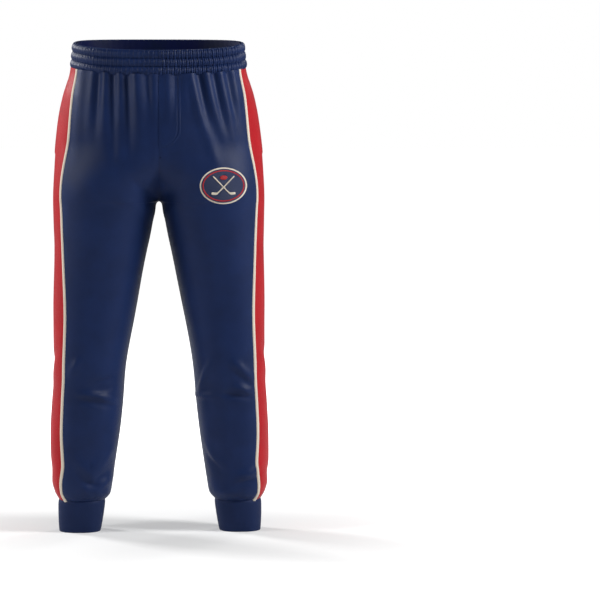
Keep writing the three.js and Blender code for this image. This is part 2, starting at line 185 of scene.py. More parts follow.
class Sections:
    """The level sections of the left half at a list of heights.

    A place on a section is its reach: the length round the leg from the outermost
    line, negative towards the front.
    """

    SAMPLES = 480

    def __init__(self, z, stations=STATIONS):
        self.z = np.asarray(z, float)
        outer, inner, front, back = (through(stations, c, self.z) for c in range(1, 5))
        whole = (self.z > FORK_Z) & (stations is STATIONS)
        t = np.clip(1 - (self.z - FORK_Z) / FORK_DEPTH, 0, 1)
        closing = t * t * (3 - 2 * t) + FORK_SLOPE * (t**3 - t**2)
        fork = np.where(whole, closing, 1.0)
        half = np.where(whole, outer / (1 + fork), (outer - inner) / 2)
        self.deep = (back - front) / 2
        self.middle = (back + front) / 2
        end = np.where(whole, math.pi - np.arccos(fork ** (BULGE / 2)), math.pi)
        angle = end[:, None] * np.linspace(-1, 1, self.SAMPLES + 1)
        cos, sin = np.cos(angle), np.sin(angle)
        across, along = (np.sign(f) * np.abs(f) ** (2 / BULGE) for f in (cos, sin))
        self.x = (outer - half)[:, None] + half[:, None] * across
        self.y = self.middle[:, None] + self.deep[:, None] * along
        if stations is STATIONS:
            near = np.clip(1 - (self.x - inner[:, None]) / ARCH_REACH, 0, 1)
            self.x += self.arch()[:, None] * near**2
        run = np.hypot(np.diff(self.x), np.diff(self.y)).cumsum(axis=1)
        length = np.hstack([np.zeros((len(run), 1)), run])
        outermost = length[:, self.SAMPLES // 2]
        self.reach = length - outermost[:, None]
        self.first = self.reach[:, 0]
        self.last = self.reach[:, -1]

    def arch(self):
        """How far the arch of the fork pushes the inner leg out at each height."""
        below = FORK_Z - self.z
        rise = np.sqrt(np.clip(1 - (1 - np.clip(below / ARCH_TALL, 0, 1)) ** 2, 0, 1))
        return ARCH_WIDE * rise * (1 - smoothstep(ARCH_TALL, ARCH_FADE, below))

    def points(self, reach):
        """Points at a grid of reaches, one row for each section, before the rim's dip."""
        rows = range(len(self.z))
        x = np.array([np.interp(reach[i], self.reach[i], self.x[i]) for i in rows])
        y = np.array([np.interp(reach[i], self.reach[i], self.y[i]) for i in rows])
        z = np.broadcast_to(self.z[:, None], x.shape)
        return np.stack([np.maximum(x, 0.0), y, z], axis=-1)

    def dip(self, points):
        """How far the rim's slope from back to front moves each point up."""
        along = (points[..., 1] - self.middle[:, None]) / self.deep[:, None]
        level = smoothstep(RIM_LEVEL_AT, -BAND_HEIGHT, self.z)[:, None]
        lean = (RIM_FRONT_DROP + RIM_BACK_RISE) / 2 * along
        sink = (RIM_FRONT_DROP - RIM_BACK_RISE) / 2 * along * along
        return level * (lean - sink)


def surface(z, reach, stations=STATIONS):
    """Points and outward normals of the smooth form at a grid of heights and reaches."""
    near = 0.0015
    here = Sections(z, stations)
    p = here.points(reach)
    above = Sections(here.z + near, stations).points(reach)
    below = Sections(here.z - near, stations).points(reach)
    round_leg = here.points(reach + near) - here.points(reach - near)
    normal = np.cross(round_leg, above - below)
    normal /= np.linalg.norm(normal, axis=-1, keepdims=True) + 1e-12
    return p, normal, (here.dip(p) if stations is STATIONS else np.zeros(p.shape[:2]))


def side_half(z):
    """Half the side panel's width at each height."""
    return through(SIDE_HALF_WIDTHS, 1, z)


# ---- folds ------------------------------------------------------------------------

# Each fold is a line on the form, seen from the front or the back, as (x, height)
# points in millimetres, with its half width and how far it stands out (or in).
FRONT_FOLDS = (
    # gathers under the waistband, on the wearer's right
    (((-152, -52), (-164, -190)), 16, 1.9),
    (((-131, -52), (-140, -150)), 13, 1.6),
    (((-121, -52), (-125, -140)), 11, -1.5),
    (((-107, -52), (-111, -165)), 13, 1.9),
    (((-92, -52), (-92, -190)), 11, -2.1),
    (((-77, -52), (-75, -130)), 11, 1.3),
    (((-63, -52), (-61, -190)), 13, -2.5),
    (((-45, -52), (-38, -170)), 15, 1.9),
    (((-24, -52), (-20, -120)), 10, -1.2),
    (((-9, -52), (-9, -120)), 9, 0.8),
    # and on the wearer's left
    (((18, -52), (20, -130)), 9, 1.0),
    (((34, -52), (34, -110)), 7, -0.8),
    (((50, -52), (55, -112)), 9, 1.2),
    (((65, -52), (82, -130), (109, -220)), 14, 3.0),
    (((80, -52), (96, -150)), 11, -2.0),
    (((96, -52), (113, -130), (130, -185)), 12, 2.2),
    (((111, -52), (127, -140)), 9, -1.6),
    (((123, -52), (142, -140), (150, -195)), 12, 2.2),
    (((138, -52), (152, -130)), 9, -1.5),
    (((150, -52), (163, -125)), 10, 1.6),
    # drag lines from the fork
    (((-4, -318), (-52, -282)), 15, -1.6),
    (((4, -318), (54, -282)), 15, -1.6),
    (((-12, -345), (-75, -318)), 16, 1.2),
    (((12, -345), (75, -318)), 16, 1.2),
    # right knee
    (((-167, -650), (-181, -676)), 10, 2.2),
    (((-134, -700), (-100, -687)), 10, -2.8),
    (((-130, -713), (-98, -704)), 8, -2.0),
    (((-165, -718), (-128, -720), (-96, -733)), 9, 2.4),
    (((-158, -728), (-102, -742)), 10, -1.6),
    # left knee
    (((103, -655), (92, -685), (82, -714)), 10, 2.6),
    (((154, -655), (172, -676), (186, -688)), 14, 3.0),
    (((156, -670), (183, -696)), 10, -2.2),
    (((158, -705), (184, -714)), 10, 2.2),
    (((136, -718), (184, -725)), 8, -2.2),
    (((74, -724), (115, -722)), 8, 1.6),
    # right calf
    (((-172, -852), (-144, -884), (-102, -838)), 16, 2.0),
    (((-164, -884), (-138, -910), (-104, -878)), 13, -1.7),
    (((-148, -920), (-102, -900)), 12, 2.0),
    (((-152, -904), (-122, -912)), 8, -1.6),
    # left calf
    (((98, -828), (115, -855), (132, -866)), 14, 1.7),
    (((102, -852), (128, -882)), 12, -1.5),
    (((163, -892), (196, -878)), 12, 2.4),
    (((166, -904), (194, -900)), 8, -1.9),
    (((115, -918), (166, -928)), 15, 1.6),
)
BACK_FOLDS = (
    # gathers under the waistband, from the wearer's left to the right
    (((153, -52), (155, -140)), 12, 2.0),
    (((143, -52), (145, -112)), 9, -1.8),
    (((133, -52), (137, -118)), 11, 2.2),
    (((113, -52), (112, -100)), 11, -1.4),
    (((94, -52), (91, -94)), 11, 2.3),
    (((80, -52), (80, -88)), 9, -1.8),
    (((66, -52), (68, -98)), 11, 2.4),
    (((55, -52), (55, -85)), 9, -1.7),
    (((43, -52), (41, -106)), 11, 2.3),
    (((29, -52), (28, -85)), 9, -1.6),
    (((15, -52), (14, -78)), 10, 1.8),
    (((0, -52), (-2, -118)), 15, -2.4),
    (((-13, -52), (-31, -102)), 11, 2.2),
    (((-26, -52), (-46, -112)), 11, -2.0),
    (((-43, -52), (-46, -80)), 10, 2.2),
    (((-54, -52), (-57, -85)), 8, -1.8),
    (((-64, -52), (-73, -86)), 11, 2.3),
    (((-76, -52), (-84, -90)), 8, -1.7),
    (((-87, -52), (-97, -94)), 11, 2.4),
    (((-97, -52), (-104, -100)), 8, -1.8),
    (((-108, -52), (-110, -118)), 12, 2.4),
    (((-121, -52), (-122, -112)), 9, -2.0),
    (((-133, -52), (-133, -140)), 12, 2.4),
    (((-147, -52), (-147, -110)), 9, -1.7),
    (((-160, -52), (-160, -118)), 11, 2.0),
    # seat
    (((22, -170), (4, -192)), 12, -1.6),
    (((79, -230), (62, -390)), 22, -3.0),
    (((96, -220), (84, -405)), 26, 2.6),
    (((-62, -240), (-46, -386)), 22, -2.6),
    (((-92, -250), (-88, -420)), 30, 2.2),
    (((8, -322), (60, -300)), 16, -1.6),
    (((-8, -322), (-60, -300)), 16, -1.6),
    # behind the left knee
    (((54, -545), (100, -594), (148, -660)), 12, -5.0),
    (((96, -560), (80, -575), (112, -594)), 15, 3.4),
    (((84, -625), (134, -682)), 24, 3.2),
    (((94, -680), (108, -708)), 11, -1.8),
    # behind the right knee
    (((-118, -614), (-142, -632), (-164, -644)), 14, 4.6),
    (((-124, -634), (-150, -665), (-174, -698)), 14, -3.6),
    (((-90, -582), (-118, -610)), 12, -3.0),
    (((-76, -645), (-96, -694)), 16, 2.6),
    (((-62, -550), (-104, -624), (-110, -690)), 14, -2.0),
    # above the cuffs
    (((166, -945), (114, -940)), 14, -1.8),
    (((-110, -930), (-150, -946)), 14, -1.8),
    (((160, -850), (110, -880)), 22, 1.6),
    (((-165, -840), (-120, -870)), 22, 1.6),
)
# Folds across the side panels, as (reach, height) points for each leg.
SIDE_FOLDS = (
    ("right", ((-58, -618), (-20, -650), (30, -640)), 12, -2.4),
    ("right", ((-50, -668), (0, -684), (52, -664)), 16, 2.2),
    ("right", ((-40, -862), (10, -884), (50, -862)), 15, -2.2),
    ("right", ((-30, -905), (30, -912)), 14, 2.0),
    ("left", ((-58, -606), (-18, -640), (30, -634)), 12, -2.4),
    ("left", ((-52, -664), (4, -680), (50, -664)), 16, 2.2),
    ("left", ((-44, -874), (6, -890), (48, -866)), 15, -2.2),
    ("left", ((-30, -908), (30, -915)), 14, 2.0),
)


# How the folds' widths and heights are scaled, and by how much their lines are carried on.
FOLD_WIDTH, FOLD_HEIGHT, FOLD_LONGER = 0.80, 2.2, 0.12
GATHER_HEIGHT, GATHER_LONGER = 2.4, 0.45
SIDE_FOLD_HEIGHT = 0.75
GATHER_START = -52  # the height at which the gathers leave the waistband, in millimetres
PUCKERS = 17  # short puckers round each hem


def longer(points, share, one_end):
    """The same line carried on past its far end, or past both ends."""
    points = [np.array(p, float) for p in points]
    points[-1] = points[-1] + (points[-1] - points[-2]) * share
    if not one_end:
        points[0] = points[0] + (points[0] - points[1]) * share
    return points


def run_along(points):
    """The length of a broken line from its start to each of its points."""
    return np.r_[0, np.linalg.norm(np.diff(points, axis=0), axis=1).cumsum()]


def along_line(points):
    """Points along a broken line, about 4 mm apart. The line is in millimetres."""
    points = np.array(points, float)
    run = run_along(points)
    count = max(3, int(run[-1] / 4.0) + 1)
    at = np.linspace(0, run[-1], count)
    return np.stack([np.interp(at, run, points[:, k]) for k in (0, 1)], axis=1)


def between(first, last, share):
    """A grid that runs across from first to last, which have one value for each row."""
    return first[:, None] + (last - first)[:, None] * share[None]


def spot_seen(x, z, from_front):
    """The point of the form at a height z, seen at x from the front or the back."""
    here = Sections(z)
    mid = here.SAMPLES // 2
    y = []
    for i, value in enumerate(np.abs(x)):
        if from_front:
            y.append(np.interp(value, here.x[i, : mid + 1], here.y[i, : mid + 1]))
        else:
            y.append(np.interp(value, here.x[i, mid:][::-1], here.y[i, mid:][::-1]))
    return np.stack([x, np.array(y), z], axis=1)


def fold_lines():
    """Every fold as its points on the form, its half width and its height."""
    lines = []
    for folds, from_front in ((FRONT_FOLDS, True), (BACK_FOLDS, False)):
        for points, width, height in folds:
            gather = points[0][1] == GATHER_START
            share, tall = (GATHER_LONGER, GATHER_HEIGHT) if gather else (FOLD_LONGER, FOLD_HEIGHT)
            line = along_line(longer(points, share, gather)) * MM
            spots = spot_seen(line[:, 0], line[:, 1], from_front)
            lines.append((spots, FOLD_WIDTH * width * MM, tall * height * MM, gather))
    for side, points, width, height in SIDE_FOLDS:
        line = along_line(points) * MM
        spots = Sections(line[:, 1]).points(line[:, :1])[:, 0]
        spots[:, 0] *= dict(SIDES)[side]
        lines.append((spots, width * MM, SIDE_FOLD_HEIGHT * height * MM, False))
    for _, sign in SIDES:
        lines += hem_gathers(sign)
    return lines


def hem_gathers(sign):
    """Short puckers all round the hem, where the leg is eased into its cuff."""
    draw = np.random.default_rng(11 + sign)
    here = Sections([HEM_Z])
    lines = []
    for k in range(PUCKERS):
        share = (k + draw.uniform(-0.3, 0.3)) / PUCKERS
        reach = here.first[0] + share * (here.last[0] - here.first[0])
        tall = draw.uniform(0.014, 0.030)
        heights = np.linspace(HEM_Z, HEM_Z + tall, 6)
        spots = Sections(heights).points(np.full((6, 1), reach))[:, 0]
        spots[:, 0] *= sign
        lines.append((spots, 0.006, draw.uniform(-1.8, -1.0) * MM, True))
    return lines


LINES = fold_lines()


def fold_height(points):
    """How far the folds push points of the smooth form outwards."""
    flat = points.reshape(-1, 3)
    total = np.zeros(len(flat))
    for spots, width, height, from_band in LINES:
        low = spots.min(axis=0) - 3 * width
        high = spots.max(axis=0) + 3 * width
        near = np.flatnonzero(((flat > low) & (flat < high)).all(axis=1))
        if not len(near):
            continue
        gap = np.linalg.norm(flat[near, None] - spots[None], axis=-1)
        t = np.linspace(0, 1, len(spots))
        taper = np.cos(np.pi / 2 * t) if from_band else np.sin(np.pi * (0.04 + 0.92 * t))
        total[near] += height * (taper**0.8 * np.exp(-((gap / width) ** 2))).max(axis=1)
    x, y, z = flat.T
    # two slow waves, so that no stretch of cloth is quite even
    total += 0.7 * MM * np.sin(31 * x + 11 * z) * np.sin(37 * y - 17 * z + 1.3)
    total += 0.5 * MM * np.sin(23 * z + 29 * x * y / 0.1 + 0.4)
    return total.reshape(points.shape[:-1])


def draped(z, reach, sign, raised=0.0):
    """The cloth's outer face on one side of the body, folds included, and its normals."""
    p, normal, dip = surface(z, reach)
    world = p * np.array([sign, 1, 1])
    fade = smoothstep(HEM_Z - 0.001, HEM_Z + 0.010, np.asarray(z, float))[:, None]
    lift = fold_height(world) * np.maximum(fade, 0.35)
    move = normal * (lift + raised)[..., None]
    whole = smoothstep(FORK_Z - 0.012, FORK_Z, np.asarray(z, float))[:, None]
    move[..., 0] *= 1 - whole * (1 - np.clip(p[..., 0] / SEAM_SOFT, 0, 1))
    p = p + move
    p[..., 2] += dip
    p[..., 0] = np.maximum(p[..., 0], 0.0)
    return p * np.array([sign, 1, 1]), normal * np.array([sign, 1, 1])


# ---- meshes -----------------------------------------------------------------------


def cloth_grid(points, cloth, inside_out=False):
    """A bmesh grid with its corners at a grid of points.

    cloth holds the cloth's own coordinates there in metres, which become the UV map.
    """
    rows, columns = points.shape[0] - 1, points.shape[1] - 1
    bm = bmesh.new()
    uv = bm.loops.layers.uv.new("UVMap")
    bmesh.ops.create_grid(bm, x_segments=columns, y_segments=rows, size=1.0)
    bm.verts.index_update()
    corner = np.array([v.co for v in bm.verts])
    i = np.rint((1 - corner[:, 1]) / 2 * rows).astype(int)
    j = np.rint((corner[:, 0] + 1) / 2 * columns).astype(int)
    for vert, spot in zip(bm.verts, points[i, j]):
        vert.co = spot
    for face in bm.faces:
        for loop in face.loops:
            at = loop.vert.index
            loop[uv].uv = cloth[i[at], j[at]]
    if inside_out:
        bmesh.ops.reverse_faces(bm, faces=bm.faces)
    return bm


def on_cloth(reach, z):
    """The cloth's own coordinates at a grid of reaches, one row for each height."""
    return np.stack([reach, np.broadcast_to(z[:, None], reach.shape)], axis=-1)


def draped_sheet(z, reach, raised, sign):
    """A sheet that lies over the form on one side of the body, raised by so much."""
    points, _ = draped(z, reach, sign, raised)
    return cloth_grid(points, on_cloth(reach, z), inside_out=sign > 0)


def closed_round(bm):
    """Joins the two ends of a sheet that goes all the way round."""
    bmesh.ops.remove_doubles(bm, verts=bm.verts, dist=1e-6)


def add_to(bm, other):
    """Moves all of another bmesh into this one."""
    mesh = bpy.data.meshes.new("part")
    other.to_mesh(mesh)
    other.free()
    bm.from_mesh(mesh)
    bpy.data.meshes.remove(mesh)


def thicken(bm, thickness):
    """Gives a sheet a wall, inwards from its outer face, with no spike at a sharp fold."""
    skin = KDTree(len(bm.verts))
    for i, vert in enumerate(bm.verts):
        skin.insert(vert.co, i)
    skin.balance()
    bm.normal_update()
    bmesh.ops.solidify(bm, geom=bm.faces[:], thickness=thickness)
    for vert in bm.verts:
        near, _, gap = skin.find(vert.co)
        if gap > 2 * thickness:
            vert.co = near + (vert.co - near) * (thickness / gap)


def finished(name, bm, material, sharp=50):
    """The object that a bmesh becomes, with edges over so many degrees left sharp."""
    mesh = bpy.data.meshes.new(name)
    bm.to_mesh(mesh)
    bm.free()
    mesh.shade_smooth()
    mesh.set_sharp_from_angle(angle=math.radians(sharp))
    mesh.materials.append(material)
    obj = bpy.data.objects.new(name, mesh)
    bpy.context.scene.collection.objects.link(obj)
    return obj


def over_hip(obj):
    """Bakes the piece's place into its mesh."""
    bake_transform(obj)


def over_knee(obj):
    """Bakes the piece's place into its mesh."""
    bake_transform(obj)


# ---- materials --------------------------------------------------------------------


def principled(name, colour, roughness, sheen=0.0, specular=0.35):
    material = bpy.data.materials.new(name)
    material.use_nodes = True
    shader = material.node_tree.nodes["Principled BSDF"]
    shader.inputs["Base Color"].default_value = (*colour, 1.0)
    shader.inputs["Roughness"].default_value = roughness
    shader.inputs["Specular IOR Level"].default_value = specular
    shader.inputs["Sheen Weight"].default_value = sheen
    shader.inputs["Sheen Roughness"].default_value = 0.45
    return material


class Nodes:
    """Short calls for building one material's node tree."""

    def __init__(self, material):
        self.tree = material.node_tree
        self.shader = self.tree.nodes["Principled BSDF"]

    def new(self, kind, **settings):
        node = self.tree.nodes.new(kind)
        for key, value in settings.items():
            setattr(node, key, value)
        return node

    def link(self, source, target):
        self.tree.links.new(source, target)

    def across_and_down(self):
        """The cloth's own coordinates."""
        split = self.new("ShaderNodeSeparateXYZ")
        self.link(self.new("ShaderNodeTexCoord").outputs["UV"], split.inputs[0])
        return split.outputs["X"], split.outputs["Y"]

    def bump(self, height, strength, distance):
        bump = self.new("ShaderNodeBump")
        bump.inputs["Strength"].default_value = strength
        bump.inputs["Distance"].default_value = distance
        self.link(height, bump.inputs["Height"])
        self.link(bump.outputs["Normal"], self.shader.inputs["Normal"])

    def math(self, operation, a, b=None):
        node = self.new("ShaderNodeMath", operation=operation)
        for socket, value in zip(node.inputs, (a, b)):
            if value is None:
                continue
            if isinstance(value, (int, float)):
                socket.default_value = value
            else:
                self.link(value, socket)
        return node.outputs[0]


def knit(name, colour, light, roughness=0.46, sheen=0.04, wale=1.4, course=1.1, depth=0.12):
    """A smooth weft knit: rows of V stitches, with a soft mottle in its colour and painted shade
    that darkens the grooves between its ribs.
    """
    material = principled(name, colour, roughness, sheen, 0.20)
    n = Nodes(material)
    x, y = n.across_and_down()
    across = n.math("MULTIPLY", x, 1 / (wale * MM))
    down = n.math("MULTIPLY", y, 1 / (course * MM))
    leg = n.math("ABSOLUTE", n.math("SUBTRACT", n.math("FRACT", across), 0.5))
    slanted = n.math("ADD", down, n.math("MULTIPLY", leg, 1.3))
    stitch = n.math("SINE", n.math("MULTIPLY", slanted, math.tau))
    ridge = n.math("SINE", n.math("MULTIPLY", leg, math.tau))
    height = n.math("ADD", n.math("MULTIPLY", stitch, 0.35), n.math("MULTIPLY", ridge, 0.65))
    n.bump(height, 0.5, depth * MM)
    place = n.new("ShaderNodeTexCoord").outputs["Object"]
    mottle = n.new("ShaderNodeTexNoise")
    mottle.inputs["Scale"].default_value = 16.0
    mottle.inputs["Detail"].default_value = 5.0
    n.link(place, mottle.inputs["Vector"])
    ramp = n.new("ShaderNodeValToRGB")
    stops = ramp.color_ramp.elements
    for stop, position, shade in zip(stops, (0.34, 0.68), (colour, light)):
        stop.position = position
        stop.color = (*shade, 1.0)
    n.link(mottle.outputs["Fac"], ramp.inputs["Fac"])
    # painted shade: the colour is darkened where the ribs' bump is low, in the grooves between
    # them
    shade = n.new("ShaderNodeMix", data_type="RGBA", blend_type="MULTIPLY")
    shade.inputs["Factor"].default_value = 0.18
    n.link(ramp.outputs["Color"], shade.inputs["A"])
    n.link(ridge, shade.inputs["B"])
    n.link(shade.outputs["Result"], n.shader.inputs["Base Color"])
    return material


def silk(name, colour, roughness):
    """Satin stitch: fine parallel threads in the badge's own coordinates."""
    material = principled(name, colour, roughness, 0.1)
    n = Nodes(material)
    x, y = n.across_and_down()
    slant = n.math("ADD", n.math("MULTIPLY", x, 0.5), y)
    thread = n.math("SINE", n.math("MULTIPLY", slant, math.tau / (0.75 * MM)))
    n.bump(thread, 0.6, 0.15 * MM)
    return material


def times(colour, factor):
    return tuple(c * factor for c in colour)


def lighter(colour, share):
    return tuple(c + (1 - c) * share for c in colour)


class Cloths:
    """The finishes, made once from the colours that the panel shows."""

    made = {}

    @classmethod
    def get(cls, name):
        if not cls.made:
            colours = bpy.context.scene.trouser_colours
            navy, red, ivory = (tuple(c) for c in (colours.navy, colours.red, colours.ivory))
            deep = times(navy, 0.9)
            # navy facing, darkened to near black-blue as painted shade for the inside of the
            # waist
            inside = (navy[0] * 0.3, navy[1] * 0.3, navy[2] * 0.75)
            web, web_light = (0.62, 0.62, 0.60), (0.72, 0.72, 0.70)
            cls.made = {
                "navy": knit("navy_knit", navy, times(navy, 1.25)),
                "red": knit("red_knit", red, times(red, 1.15)),
                "ivory": knit("ivory_piping", ivory, ivory, 0.6, 0.1, 0.9, 0.8),
                "rib": knit("rib_knit", deep, navy, 0.6, 0.05, 1.4, 0.9),
                "shade_dark_lining": knit("lining_knit", inside, times(navy, 0.5)),
                "elastic": knit("elastic_web", web, web_light, 0.7, 0.0, 2.2, 0.8),
                "pocketing": knit("pocketing", deep, navy, 0.75, 0.1, 1.0, 1.0),
                "navy_silk": silk("navy_silk", lighter(navy, 0.01), 0.55),
                "red_silk": silk("red_silk", red, 0.5),
                "ivory_silk": silk("ivory_silk", ivory, 0.5),
                # the threads' own colour, darkened further as painted shade: their rows stand in
                # for the dark shadow lines of the pocket mouth, the fly and the bartacks
                "navy_thread_painted_shade": principled("navy_thread_painted_shade", times(navy, 0.3), 0.6, 0.0, 0.1),
                "red_thread_painted_shade": principled("red_thread_painted_shade", times(red, 0.22), 0.6, 0.0, 0.1),
            }
        return cls.made[name]


# ---- the garment's pieces ------------------------------------------------------------

PANEL_COLUMNS = {"front": 68, "side": 34, "back": 76}
POCKET_COLUMN = 0.56  # the share of the side panel's columns ahead of the pocket mouth
SEAM_DEPTH, SEAM_WIDE = 0.0009, 0.0042
SEAM_PUCKER = 0.0095  # from one small pucker of a seam to the next
HEM_TURN, HEM_SOFT = 0.0026, 0.0028
LIP_HEM = 0.0065  # how far ahead of the pocket mouth its lip is topstitched
BEHIND_LIP = 0.0008  # how far the cloth behind the mouth lies under the lip
STITCH_SHARE = 0.72  # how much of its pitch a stitch shows


def leg_rows(top, bottom, pitch):
    """Even row heights down the leg."""
    return np.linspace(top, bottom, max(2, round((top - bottom) / pitch)) + 1)


def panel_rows(upper, pitch):
    """Row heights of a panel's part, closer together at the fork and at the hem."""
    if not upper:
        above = leg_rows(THIGH_SPLIT, HEM_Z + 0.012, pitch)
        return np.concatenate([above[:-1], leg_rows(HEM_Z + 0.012, HEM_Z, 0.0012)])
    arch_top = FORK_Z + 0.040
    above = leg_rows(-BAND_SEEN + 0.002, arch_top, pitch)
    arch = FORK_Z + (arch_top - FORK_Z) * np.linspace(1, 0, 15) ** 2
    below = FORK_Z - 0.035 * np.linspace(0, 1, 11) ** 1.6
    rest = leg_rows(below[-1], THIGH_SPLIT, pitch)
    return np.concatenate([above[:-1], arch[:-1], below[:-1], rest])


def seam_dip(reach, z):
    """The cloth sinks a little beside each seam, in a row of small puckers."""
    here = Sections(z)
    total = np.zeros(reach.shape)
    pucker = 1 + 0.35 * np.sin(z * math.tau / SEAM_PUCKER + 1.7 * np.sin(z * 60))
    for line in (-side_half(z), side_half(z), here.first, here.last):
        gap = np.abs(reach - line[:, None])
        total -= SEAM_DEPTH * np.exp(-((gap / SEAM_WIDE) ** 2)) * pucker[:, None]
    return total


def hem_tuck(z):
    """The leg turns in at its hem, where the cuff is sewn on."""
    return -HEM_TURN * np.exp(-(z[:, None] - HEM_Z) / HEM_SOFT)


def pocket_shape(z):
    """0 at both ends of the pocket mouth and beyond, 1 along its middle."""
    share = np.clip((z - POCKET_BOTTOM) / (POCKET_TOP - POCKET_BOTTOM), 0, 1)
    return smoothstep(0, 0.04, share) * (1 - smoothstep(0.5, 1.0, share))


def pocket_lift(reach, z):
    """The front lip of the pocket mouth stands out; its hem is a double layer."""
    ahead = POCKET_LINE - reach
    shape = pocket_shape(z)[:, None]
    on_lip = ahead > -1e-6
    lip = np.where(on_lip, 1 - smoothstep(0, POCKET_SPREAD, ahead), 0.0)
    hem = np.where(on_lip, 1 - smoothstep(5.5 * MM, 7.0 * MM, ahead), 0.0)
    inside = smoothstep(POCKET_BOTTOM - 0.001, POCKET_BOTTOM + 0.002, z)[:, None]
    inside = inside * (1 - smoothstep(POCKET_TOP - 0.002, POCKET_TOP + 0.001, z))[:, None]
    stitch = -0.5 * MM * np.exp(-(((ahead - LIP_HEM) / (1.2 * MM)) ** 2))
    behind = np.where(ahead <= 0, -BEHIND_LIP * np.exp(ahead / 0.012), 0.0)
    return (POCKET_GAPE * lip + behind) * shape + (0.5 * MM * hem + stitch) * inside


class TROUSERS_OT_panels(Operator):
    """The front, side and back panels of both legs"""

    bl_idname = "trousers.panels"
    bl_label = "Leg Panels"

    def execute(self, context):
        pitch = context.scene.trouser_sizes.cell
        spans = {
            "front": lambda s: (s.first, -side_half(s.z)),
            "side": lambda s: (-side_half(s.z), side_half(s.z)),
            "back": lambda s: (side_half(s.z), s.last),
        }
        for side, sign in SIDES:
            for part in ("upper", "lower"):
                rows = panel_rows(part == "upper", pitch)
                for panel, span in spans.items():
                    self.make(panel, part, side, sign, rows, span)
        return {"FINISHED"}

    def make(self, panel, part, side, sign, rows, span):
        """One part of a panel, between the two seam lines that span gives."""
        start, end = span(Sections(rows))
        share = np.linspace(0, 1, PANEL_COLUMNS[panel] + 1)
        reach = between(start, end, share)
        pocket = panel == "side" and part == "upper"
        if pocket:
            reach = self.with_pocket_line(reach)
            raised = seam_dip(reach, rows) + pocket_lift(reach, rows)
        else:
            raised = seam_dip(reach, rows) + hem_tuck(rows)
        bm = draped_sheet(rows, reach, raised, sign)
        if pocket:
            self.cut_pocket(bm, rows, sign)
        thicken(bm, bpy.context.scene.trouser_sizes.cloth)
        cloth = "red" if panel == "side" else "navy"
        obj = finished(f"{side}_{panel}_panel_{part}", bm, Cloths.get(cloth))
        node = f"{side}_{panel}_panel"
        if part == "upper":
            over_hip(obj)
            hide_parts(f"{node}_hip", f"{node}_hip_bend", f"{node}_thigh")
        else:
            over_knee(obj)
            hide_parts(f"{node}_knee_bend", f"{node}_calf")

    def with_pocket_line(self, reach):
        """Spaces the columns so that one of them runs down the pocket mouth."""
        columns = reach.shape[1] - 1
        slit = round(columns * POCKET_COLUMN)
        ahead = np.linspace(0, 1, slit + 1)[None]
        behind = np.linspace(0, 1, columns - slit + 1)[None]
        first, last = reach[:, :1], reach[:, -1:]
        front = first + (POCKET_LINE - first) * ahead
        back = POCKET_LINE + (last - POCKET_LINE) * behind
        return np.hstack([front, back[:, 1:]])

    def cut_pocket(self, bm, rows, sign):
        """Opens the pocket mouth: the cloth behind it lies lower than the lip."""
        near, level = 1e-5, 1e-6
        inside = rows[(rows >= POCKET_BOTTOM) & (rows <= POCKET_TOP)]
        low, high = inside.min() - level, inside.max() + level
        uv = bm.loops.layers.uv.active
        on_line = {
            loop.vert
            for face in bm.faces
            for loop in face.loops
            if abs(loop[uv].uv[0] - POCKET_LINE) < near and low <= loop[uv].uv[1] <= high
        }
        edges = [edge for edge in bm.edges if on_line.issuperset(edge.verts)]
        bmesh.ops.split_edges(bm, edges=edges)
        uv = bm.loops.layers.uv.active
        _, normal, _ = surface(rows, np.full((len(rows), 1), POCKET_LINE))
        for vert in bm.verts:
            reach, z = vert.link_loops[0][uv].uv
            if abs(reach - POCKET_LINE) > near or not POCKET_BOTTOM < z < POCKET_TOP:
                continue
            centres = [face.calc_center_median() for face in vert.link_faces]
            if (sum(centres, Vector()) / len(centres)).y <= vert.co.y:
                continue
            out = Vector([np.interp(z, rows[::-1], normal[::-1, 0, k]) for k in range(3)])
            out.x *= sign
            shape = float(pocket_shape(np.array([z]))[0])
            vert.co -= out * (POCKET_GAPE + BEHIND_LIP) * shape


class TROUSERS_OT_piping(Operator):
    """The flat ivory piping in the side seams"""

    bl_idname = "trousers.piping"
    bl_label = "Piping"

    def execute(self, context):
        sizes = context.scene.trouser_sizes
        half = sizes.piping_width / 2
        for side, sign in SIDES:
            for edge, way in (("front", -1), ("back", 1)):
                for part in ("upper", "lower"):
                    rows = panel_rows(part == "upper", sizes.cell)
                    self.make(side, sign, edge, way, part, rows, half)
        return {"FINISHED"}

    def make(self, side, sign, edge, way, part, rows, half):
        """One tape: flat in the middle, with its edges turned under the cloth."""
        share = np.linspace(-PIPING_TURN, PIPING_TURN, 13)[None]
        reach = way * side_half(rows)[:, None] + half * share
        raised = np.broadcast_to((0.1 + 1.1 * (1 - share**4)) * MM, reach.shape)
        bm = draped_sheet(rows, reach, raised, sign)
        thicken(bm, PIPING_WALL)
        name = f"{side}_{edge}_piping_{part}"
        obj = finished(name + "_tape", bm, Cloths.get("ivory"))
        if part == "upper":
            over_hip(obj)
        else:
            over_knee(obj)
        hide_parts(name)


